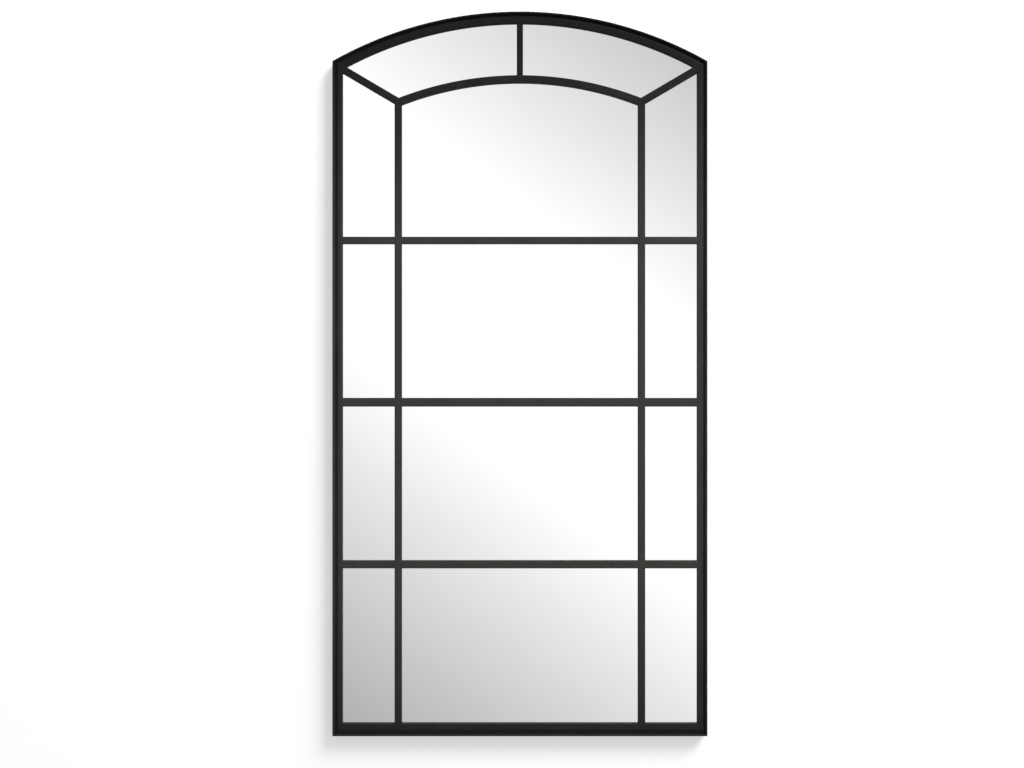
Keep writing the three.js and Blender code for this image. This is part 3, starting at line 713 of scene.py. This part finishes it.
def hardboard_finish():
    """Hardboard: brown fibre in blotches, short pale and dark fibres every way, and a pressed mesh, which is
    the product of two sine waves of MESH_STEP."""
    material, tree, shader = new_finish("hardboard", Specular_IOR_Level=0.25)
    plus, _, times, _ = sums(tree)
    point = object_point(tree)
    blotch = place_group(tree, mottle, Size=9.0)
    level, upright = (noise(tree, point, 260.0, 5.0, 0.7, way) for way in ((3.0, 1.0, 1.0), (1.0, 1.0, 3.0)))
    fibres = spread(tree, plus(level, upright), 0.75, 1.2)
    body = blend_colours(tree, blotch, linear(112, 82, 55), linear(136, 103, 72))
    feed(tree, shader, Base_Color=blend_colours(tree, fibres, linear(92, 66, 44), body),
         Roughness=spread(tree, fibres, 0, 1, 0.9, 0.68))
    axes = split(tree, point)
    across, up = (calc(tree, "SINE", times(axes[axis], 2 * math.pi / MESH_STEP)) for axis in "XZ")
    mesh = spread(tree, times(across, up), -1, 1)
    add_bump(tree, shader, plus(mesh, times(fibres, 0.6)), 0.12 * MM)
    return material


give(foam_finish(), *[name for name in nodes if name.startswith("glazing_tape")])
rubber = rubber_finish()
give(rubber, "setting_block_left", "setting_block_right")
give(hardboard_finish(), "backing_board")
give(frame_coat, *[f"{kind}_{name}" for kind in ("hanger_plate", "corner_gusset") for name in HANDS])
print("tape, blocks, board, plates and gussets finished")

# %% [markdown]
# ## Zinc plate
# Screws, straps and D-rings are bright zinc on steel: a cool grey metal, brushed a little by the barrel it
# was plated in, with a faint yellow and blue tint where the passivation is thicker.

# %% Zinc finish
def zinc_finish():
    material, tree, shader = new_finish("bright_zinc", Metallic=1.0)
    cloud = place_group(tree, mottle, Size=70.0)
    tint = place_group(tree, mottle, Size=31.0)
    edges = place_group(tree, edge_wear_and_light, Size=500.0, Amount=0.7)
    metal = blend_colours(tree, tint, linear(186, 190, 194), linear(196, 191, 176))
    feed(tree, shader, Base_Color=blend_colours(tree, edges, metal, linear(224, 225, 226)),
         Roughness=spread(tree, cloud, 0, 1, 0.24, 0.42))
    add_bump(tree, shader, place_group(tree, orange_peel, Size=1800.0), 0.03 * MM)
    return material


zinc = zinc_finish()
print("zinc finished")

# %% [markdown]
# ## Pan-head screws
# A pan head is a flat dome with a cross recess. Its profile says how high each ring stands, and the recess
# is taken away from that height where the angle and radius fall inside the cross. The shank goes on below
# the head, so a screw is one closed surface.

# %% Screws
SCREW_SIDES, DOME_STEPS = 64, 25
HEAD_RADIUS, HEAD_HEIGHT = 3.6 * MM, 2.1 * MM
HEAD_WALL = 0.42 * HEAD_HEIGHT
RECESS_REACH, RECESS_WIDTH, RECESS_DEPTH = 2.1 * MM, 0.52 * MM, 1.2 * MM
WALL_SLOPE, TIP_SLOPE = 0.22 * MM, 0.55 * MM


def recess(radius, angle):
    """Depth of the cross at a point: full depth inside four arms, which taper to nothing at their tips and
    have sloping walls. A point is in an arm when its smaller coordinate is under the arm's half width."""
    x, y = np.abs(radius * np.cos(angle)), np.abs(radius * np.sin(angle))
    along, aside = np.maximum(x, y), np.minimum(x, y)
    half = RECESS_WIDTH * (1 - 0.35 * along / RECESS_REACH)
    wall = np.clip((half - aside) / WALL_SLOPE + 0.5, 0, 1)
    slope = np.clip((RECESS_REACH - along) / TIP_SLOPE, 0, 1)
    return RECESS_DEPTH * wall * slope


def resting_turn(node):
    """How far a screw happened to turn before it was tight: the golden angle, times its place in the list."""
    return math.radians(sorted(nodes).index(node) * 137.5 % 360)


def make_screw(name, node, shank_radius, seat_y, tip_y):
    """Rings from the tip up the shank, under the head, up its wall and in across the dome to the middle. The
    dome stands over the wall by the rest of the head's height times the root of 1 - share**4."""
    around = np.linspace(0, 2 * np.pi, SCREW_SIDES, endpoint=False)
    share = np.linspace(1, 0, DOME_STEPS + 1)[1:-1]
    shank = np.array([0.4, 0.85, 1.0, 1.0]) * shank_radius
    radius = np.concatenate([shank, [HEAD_RADIUS] * 2, HEAD_RADIUS * share])
    wall_y = seat_y + HEAD_WALL
    depth = np.concatenate([[tip_y, tip_y + 0.5 * MM, tip_y + 1.2 * MM, seat_y, seat_y, wall_y],
                            wall_y + (HEAD_HEIGHT - HEAD_WALL) * np.sqrt(1 - share**4)])
    on_top = np.arange(len(radius)) >= len(shank) + 2
    y = depth[:, None] - on_top[:, None] * recess(radius[:, None], around)
    ends = tip_y, seat_y + HEAD_HEIGHT - RECESS_DEPTH
    screw = turned(name, box_middle(node), around + resting_turn(node), radius, y, ends,
                   on_top & (radius > 0.8 * HEAD_RADIUS))
    return dress(screw, node, zinc)


BOARD_SHANK, HANGER_SHANK = 1.6 * MM, 1.7 * MM
screws = []
for node in sorted(nodes):
    if node.startswith(("board_screw", "hanger_screw")):
        low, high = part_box(node)
        shank = BOARD_SHANK if node.startswith("board") else HANGER_SHANK
        screws.append(make_screw(f"{node}_detailed", node, shank, high[1] - HEAD_HEIGHT, low[1]))
print(len(screws), "screws,", len(screws[0].data.polygons), "faces each")

# %% [markdown]
# ## D-rings and their straps
# A D-ring is a length of wire bent to a D, with its two ends meeting inside the strap. Here its middle line
# is worked out as straight runs and arcs, and a circle is carried along it. The strap is a strip that lies
# flat on its plate, curls once round the wire, and ends in a half round below its two screws.

# %% D-rings
WIRE, WIRE_SIDES, WIRE_END = 1.75 * MM, 20, 0.8
RING_HALF, RING_DROP, RING_CORNER, RING_GAP = 13.75 * MM, 10.75 * MM, 4 * MM, 0.8 * MM
PIVOT_Y, PIVOT_Z = 9.85 * MM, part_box("d_ring_left")[1][2] - WIRE


def arc(middle, radius, start, end, steps):
    """Points on an arc, angles in degrees."""
    angle = np.radians(np.linspace(start, end, steps))
    return np.column_stack([middle[0] + radius * np.cos(angle), middle[1] + radius * np.sin(angle)])


def ring_line():
    """Middle line of the wire in x and z, with the pivot at (0, 0): out along the top, round the corner and
    the bow, and back up the other side."""
    side = RING_HALF - RING_CORNER
    top = np.column_stack([np.linspace(RING_GAP / 2, side, 8)[:-1], np.zeros(7)])
    corner = arc((side, -RING_CORNER), RING_CORNER, 90, 0, 12)
    bow = arc((0, -RING_DROP), RING_HALF, 0, -90, 28)
    right = np.concatenate([top, corner, bow])
    left = right[::-1][1:] * [-1, 1]
    return np.concatenate([right, left])


def make_ring(name):
    """A circle of wire in the plane across the line: one axis is depth, the other is the line's normal. The
    first and last ring are smaller, which chamfers the cut ends."""
    line = ring_line()
    way = directions(line)
    normal = np.column_stack([-way[:, 1], way[:, 0]])
    angle = np.linspace(0, 2 * np.pi, WIRE_SIDES, endpoint=False)
    size = np.full(len(line), WIRE)
    size[[0, -1]] = WIRE_END * WIRE
    out = size[:, None] * np.cos(angle)
    x = box_middle(f"hanger_strap_{name}")[0] + line[:, :1] + normal[:, :1] * out
    z = PIVOT_Z + line[:, 1:] + normal[:, 1:] * out
    y = PIVOT_Y + size[:, None] * np.sin(angle)
    faces = tube_faces(*x.shape) + end_caps(*x.shape)
    wear_and_light_mark = np.clip(-(line[:, 1:] + RING_DROP) / RING_HALF, 0, 1) * np.ones(WIRE_SIDES)
    ring = add_mesh(f"d_ring_{name}_bent", np.stack([x, y, z], axis=-1), faces, wear_and_light_mark, smooth_below=50)
    return dress(ring, f"d_ring_{name}", zinc, f"ring_{name}")


rings = [make_ring(name) for name in HANDS]
print("pivot at z", round(PIVOT_Z, 4), "with", len(rings[0].data.polygons), "faces in a ring")

# %% Straps
STRAP_WIDTH, STRAP_THICKNESS, STRAP_LENGTH = 15 * MM, 1.5 * MM, 43 * MM
PLATE_BACK_Y = 6.3 * MM
CURL_END = -100.0
STRAP_CORNER, STRAP_SIDES, STRAP_RUB = 0.35 * MM, 16, 1.2 * MM


def make_strap(name):
    """The strip's middle line is a straight run and an arc round the pivot. Its section is a rectangle with
    small round corners. Near the lower end the half width follows a circle, for the half-round end."""
    node = f"hanger_strap_{name}"
    middle_y, half = PLATE_BACK_Y + STRAP_THICKNESS / 2, STRAP_WIDTH / 2
    drop = half * (1 - np.cos(np.linspace(0, np.pi / 2, 16)))
    flat_z = np.concatenate([-STRAP_LENGTH + drop, np.linspace(-STRAP_LENGTH + half, 0, 10)[1:-1]])
    flat = np.column_stack([np.full_like(flat_z, middle_y), flat_z])
    line = np.concatenate([flat, arc((PIVOT_Y, 0), PIVOT_Y - middle_y, 180, CURL_END, 40)])
    way = directions(line)
    normal = np.column_stack([way[:, 1], -way[:, 0]])
    fall = np.clip((line[:, 1] + STRAP_LENGTH) / half, 0, 1)
    fall[len(flat_z):] = 1
    wide = np.maximum(half * np.sqrt(1 - (1 - fall) ** 2), 0.5 * MM)
    around = np.arange(STRAP_SIDES)
    turn = np.radians(30 * (around - around // 4))
    aside, rear = np.repeat([1, -1, -1, 1], 4), np.repeat([1, 1, -1, -1], 4)
    x = aside * (wide[:, None] - STRAP_CORNER) + STRAP_CORNER * np.cos(turn)
    off = rear * (STRAP_THICKNESS / 2 - STRAP_CORNER) + STRAP_CORNER * np.sin(turn)
    y, z = line[:, :1] + normal[:, :1] * off, PIVOT_Z + line[:, 1:] + normal[:, 1:] * off
    points = np.stack([box_middle(node)[0] + x, y, z], axis=-1)
    wear_and_light_mark = np.clip(np.abs(x) - wide[:, None] + STRAP_RUB, 0, STRAP_RUB) / STRAP_RUB
    faces = tube_faces(*x.shape) + end_caps(*x.shape)
    return dress(add_mesh(f"{node}_curled", points, faces, wear_and_light_mark, smooth_below=50), node, zinc)


straps = [make_strap(name) for name in HANDS]
print("straps have", len(straps[0].data.polygons), "faces")

# %% [markdown]
# ## Rubber bumpers
# Two rubber feet keep the lower corners off the wall. A bumper is a disc turned about its axis: a low wall,
# a rounded shoulder and a face that is dished a little.

# %% Bumpers
BUMPER_SIDES, SHOULDER = 48, 1.5 * MM
DISH_SHARE, DISH_DEPTH = np.array([0.95, 0.85, 0.7, 0.4]), np.array([0, 0.08, 0.14, 0.2]) * MM


def make_bumper(name):
    """A profile of radius and rise, turned about the bumper's axis: out over the back, up the wall, round the
    shoulder and in across the dished face. It closes on the axis at both ends."""
    node = f"wall_bumper_{name}"
    low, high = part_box(node)
    across, tall = (high[0] - low[0]) / 2, high[1] - low[1]
    flat = across - SHOULDER
    lean = np.linspace(0, np.pi / 2, 9)
    radius = np.concatenate([[0.4 * across, across], flat + SHOULDER * np.cos(lean), flat * DISH_SHARE])
    rise = np.concatenate([[0, 0], tall - SHOULDER + SHOULDER * np.sin(lean), tall - DISH_DEPTH])
    angle = np.linspace(0, 2 * np.pi, BUMPER_SIDES, endpoint=False)
    bumper = turned(f"{node}_moulded", box_middle(node), angle, radius, low[1] + rise[:, None],
                    (low[1], high[1] - DISH_DEPTH[-1]), np.clip(np.sin(np.pi * rise / tall), 0, 1))
    return dress(bumper, node, rubber)


bumpers = [make_bumper(name) for name in HANDS]
print("bumpers have", len(bumpers[0].data.polygons), "faces")

# %% [markdown]
# ## Weld beads
# Plates and gussets are welded to the rim at the back, where nobody grinds the bead away. A bead is a row of
# small overlapping puddles. Its radius rises and falls along the run and its ends taper.

# %% Welds
BEAD_RADIUS, BEAD_SIDES, PUDDLE, PUDDLE_STEPS = 1.7 * MM, 16, 1.9 * MM, 8
TAPER, LEAN = 2 * MM, 0.3
WELD_GAP, GUSSET_THICKNESS = 0.3 * MM, 3 * MM
PLATE_WELD = (4 * MM, 26 * MM)
GUSSET_WELDS = {"inner": (42 * MM, 62 * MM), "outer": (12 * MM, 32 * MM)}


def make_bead(name, start, end, hand):
    """A tube along a straight run. Its radius is the bead's, times a puddle wave, times a taper at both ends.
    The crown of each puddle leans along the run, which makes the ripples look laid in one direction."""
    start, end = np.array(start), np.array(end)
    length = np.linalg.norm(end - start)
    way = (end - start) / length
    run = np.linspace(0, length, int(length / PUDDLE) * PUDDLE_STEPS + 1)
    phase = (run / PUDDLE) % 1
    taper = np.sqrt(np.clip(np.minimum(run, length - run) / TAPER, 0.02, 1))
    radius = BEAD_RADIUS * taper * (1 - 0.16 * phase**2 + 0.05 * np.sin(run / (5.3 * MM)))
    angle = np.linspace(0, 2 * np.pi, BEAD_SIDES, endpoint=False)
    along = run[:, None] + hand * LEAN * PUDDLE * np.cos(angle) ** 2 * taper[:, None]
    out, rise = radius[:, None] * np.cos(angle), radius[:, None] * np.sin(angle)
    points = start + along[..., None] * way + out[..., None] * np.cross(way, (0, 1, 0))
    points[..., 1] += rise
    wear_and_light_mark = np.broadcast_to((0.5 * (1 - phase))[:, None], out.shape)
    bead = add_mesh(name, points, tube_faces(*out.shape) + end_caps(*out.shape), wear_and_light_mark, smooth_below=60)
    return dress(bead, None, frame_coat)


def make_welds():
    made = []
    near, far = PLATE_WELD
    for name, hand in HANDS.items():
        low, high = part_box(f"hanger_plate_{name}")
        x, z = hand * (HALF_WIDTH - RIM_THICKNESS - WELD_GAP), RIM_THICKNESS + WELD_GAP
        runs = {"lower": (low[2] + near, low[2] + far), "upper": (high[2] - far, high[2] - near)}
        for label, heights in runs.items():
            start, end = ((x, high[1], height) for height in heights)
            made.append(make_bead(f"hanger_weld_{name}_{label}", start, end, hand))
        for label, places in GUSSET_WELDS.items():
            start, end = ((hand * (HALF_WIDTH - RIM_THICKNESS - place), RIM_BACK_Y - GUSSET_THICKNESS, z)
                          for place in places)
            made.append(make_bead(f"gusset_weld_{name}_{label}", start, end, hand))
    return made


welds = make_welds()
print(len(welds), "weld beads")

# %% [markdown]
# ## Wall and floor
# The photo shows the mirror on a white wall, with a soft shadow to the left of it and below. The wall stands
# where the rubber bumpers touch it. It is one sheet that is seen only from the front, so that the back of
# the mirror can be looked at too, and light passes it to reach the back. The pale floor lies below the
# picture. It is kept out of reflections and bounced light, which the world gives evenly.

# %% Stage
def add_sheet(name, corners):
    mesh = bpy.data.meshes.new(name)
    mesh.from_pydata(corners, [], [(0, 1, 2, 3)])
    sheet = bpy.data.objects.new(name, mesh)
    bpy.context.scene.collection.objects.link(sheet)
    return sheet


def stage_finish(name, grey, glow, one_sided):
    """A pale surface that takes shadows. Camera rays also meet a steady glow, which lifts it to white without
    more light on the object. A one-sided sheet is clear from behind."""
    material = bpy.data.materials.new(name)
    material.use_nodes = True
    tree = material.node_tree
    tree.nodes.clear()
    diffuse = tree.nodes.new("ShaderNodeBsdfDiffuse")
    light = tree.nodes.new("ShaderNodeEmission")
    rays = tree.nodes.new("ShaderNodeLightPath")
    feed(tree, diffuse, Color=(grey, grey, grey, 1))
    feed(tree, light, Strength=calc(tree, "MULTIPLY", rays.outputs["Is Camera Ray"], glow))
    both = tree.nodes.new("ShaderNodeAddShader")
    tree.links.new(diffuse.outputs[0], both.inputs[0])
    tree.links.new(light.outputs[0], both.inputs[1])
    result = both.outputs[0]
    if one_sided:
        side = tree.nodes.new("ShaderNodeNewGeometry").outputs["Backfacing"]
        clear = tree.nodes.new("ShaderNodeBsdfTransparent").outputs[0]
        mix = tree.nodes.new("ShaderNodeMixShader")
        for socket, value in zip(mix.inputs, (side, result, clear)):
            tree.links.new(value, socket)
        result = mix.outputs[0]
    feed(tree, tree.nodes.new("ShaderNodeOutputMaterial"), Surface=result)
    return material


FLOOR_Z, WALL_TOP, SPAN = -0.75, 5.0, 6.0
wall = add_sheet("wall", [(-SPAN, WALL_Y, FLOOR_Z), (SPAN, WALL_Y, FLOOR_Z),
                          (SPAN, WALL_Y, WALL_TOP), (-SPAN, WALL_Y, WALL_TOP)])
floor = add_sheet("floor", [(-SPAN, -SPAN, FLOOR_Z), (SPAN, -SPAN, FLOOR_Z),
                            (SPAN, SPAN, FLOOR_Z), (-SPAN, SPAN, FLOOR_Z)])
wall.data.materials.append(stage_finish("white_wall", grey=0.52, glow=0.48, one_sided=True))
floor.data.materials.append(stage_finish("pale_floor", grey=0.6, glow=0.45, one_sided=False))
wall.visible_shadow = wall.visible_diffuse = wall.visible_glossy = False
floor.visible_diffuse = floor.visible_glossy = False
print("wall normal", tuple(round(n, 2) for n in wall.data.polygons[0].normal))

# %% [markdown]
# ## Light
# The shadow on the wall is shifted left and a little more down and is very soft, so the main light is a
# large one at the upper right. The mirror shows what lies in front of it: in the photo that is a bright
# field that darkens towards the lower left, and a little towards the upper right. The world is painted with
# that field for glossy rays, by direction alone, so it stays put when the camera moves. Round the field lies
# a dim room with a pale floor and a soft slanting strip of light on each side. Other rays meet an even soft
# light.

# %% Lamps
def add_lamp(name, place, size, power):
    """A square lamp that faces the middle of the mirror."""
    data = bpy.data.lights.new(name, "AREA")
    data.shape, data.size, data.energy = "SQUARE", size, power
    lamp = bpy.data.objects.new(name, data)
    lamp.location = place
    way = Vector((0, 0, HEIGHT / 2)) - Vector(place)
    lamp.rotation_euler = way.to_track_quat("-Z", "Y").to_euler()
    bpy.context.scene.collection.objects.link(lamp)
    return lamp


key = add_lamp("key", (4.9, -3.6, HEIGHT / 2 + 6.5), size=5.5, power=1750)
rear = add_lamp("rear", (-2.2, 3.2, HEIGHT / 2 + 2.0), size=2.5, power=120)
print("lamps:", key.name, rear.name)

# %% World
SLANT = (0.853, 1.188)
RISING, FALLING, FULL = 1.076, (-0.95, 1.153), 1.012
DARKEST, SOFTNESS = 0.58, 0.15
FIELD_ACROSS, FIELD_UP, FIELD_GAIN = (0.3, 0.9), (0.265, 0.45), 1.035
STRIP_WAY, STRIP_PLACE, STRIP_EDGE, STRIP_LIGHT = (0.8, 0.6), 0.27, (0.04, 0.14), 0.36
AMBIENT, WARM_WHITE = 0.45, (1.0, 0.998, 0.982)


def pick(tree, choice, first, second):
    """A number: first where the choice is 0, second where it is 1."""
    node = tree.nodes.new("ShaderNodeMix")
    for place, value in ((0, choice), (2, first), (3, second)):
        plug(tree, value, node.inputs[place])
    return node.outputs[0]


def make_world():
    """u and w are the slopes of a ray to the side and up. The field's tone on screen is the least of a rising
    line, a falling line and a full tone, along a slant of u and w. The screen's curve turns it into light:
    ((tone + 0.055) / 1.055) to the power 2.4. The room takes over where u or w is large."""
    world = bpy.data.worlds.new("studio")
    bpy.context.scene.world = world
    world.use_nodes = True
    tree = world.node_tree
    plus, minus, times, over = sums(tree)
    size, least = partial(calc, tree, "ABSOLUTE"), partial(calc, tree, "MINIMUM")
    axes = split(tree, tree.nodes.new("ShaderNodeTexCoord").outputs["Generated"])
    forward = calc(tree, "MAXIMUM", times(axes["Y"], -1.0), 0.05)
    u, w = over(axes["X"], forward), over(axes["Z"], forward)
    slant = plus(times(u, SLANT[0]), times(w, SLANT[1]))
    screen = least(least(plus(slant, RISING), plus(times(slant, FALLING[0]), FALLING[1])), FULL)
    screen = calc(tree, "SMOOTH_MAX", screen, DARKEST, SOFTNESS)
    field = calc(tree, "POWER", over(plus(screen, 0.055), 1.055), 2.4)
    near = times(spread(tree, size(u), *FIELD_ACROSS, 1, 0), spread(tree, size(w), *FIELD_UP, 1, 0))
    level = spread(tree, axes["Z"], -0.6, 0.4, 0.8, 0.16)
    sideways = spread(tree, size(axes["Y"]), 0.15, 0.6, 0.2, 1.0)
    aside = minus(plus(times(size(axes["X"]), STRIP_WAY[0]), times(axes["Z"], STRIP_WAY[1])), STRIP_PLACE)
    strip = spread(tree, size(aside), *STRIP_EDGE, STRIP_LIGHT, 0)
    room = plus(plus(times(sideways, level), times(axes["X"], 0.2)), strip)
    glossy = plus(times(field, times(near, FIELD_GAIN)), times(room, minus(1.0, near)))
    rays = tree.nodes.new("ShaderNodeLightPath").outputs
    seen = pick(tree, rays["Is Glossy Ray"], AMBIENT, glossy)
    clean = calc(tree, "MAXIMUM", spread(tree, screen, 0.86, 0.98), rays["Is Camera Ray"])
    feed(tree, tree.nodes["Background"], Color=blend_colours(tree, clean, WARM_WHITE, (1.0, 1.0, 1.0)),
         Strength=pick(tree, rays["Is Camera Ray"], seen, 1.0))
    return world


world = make_world()
bpy.context.scene.view_settings.view_transform = "Standard"
print("world ready:", world.name)
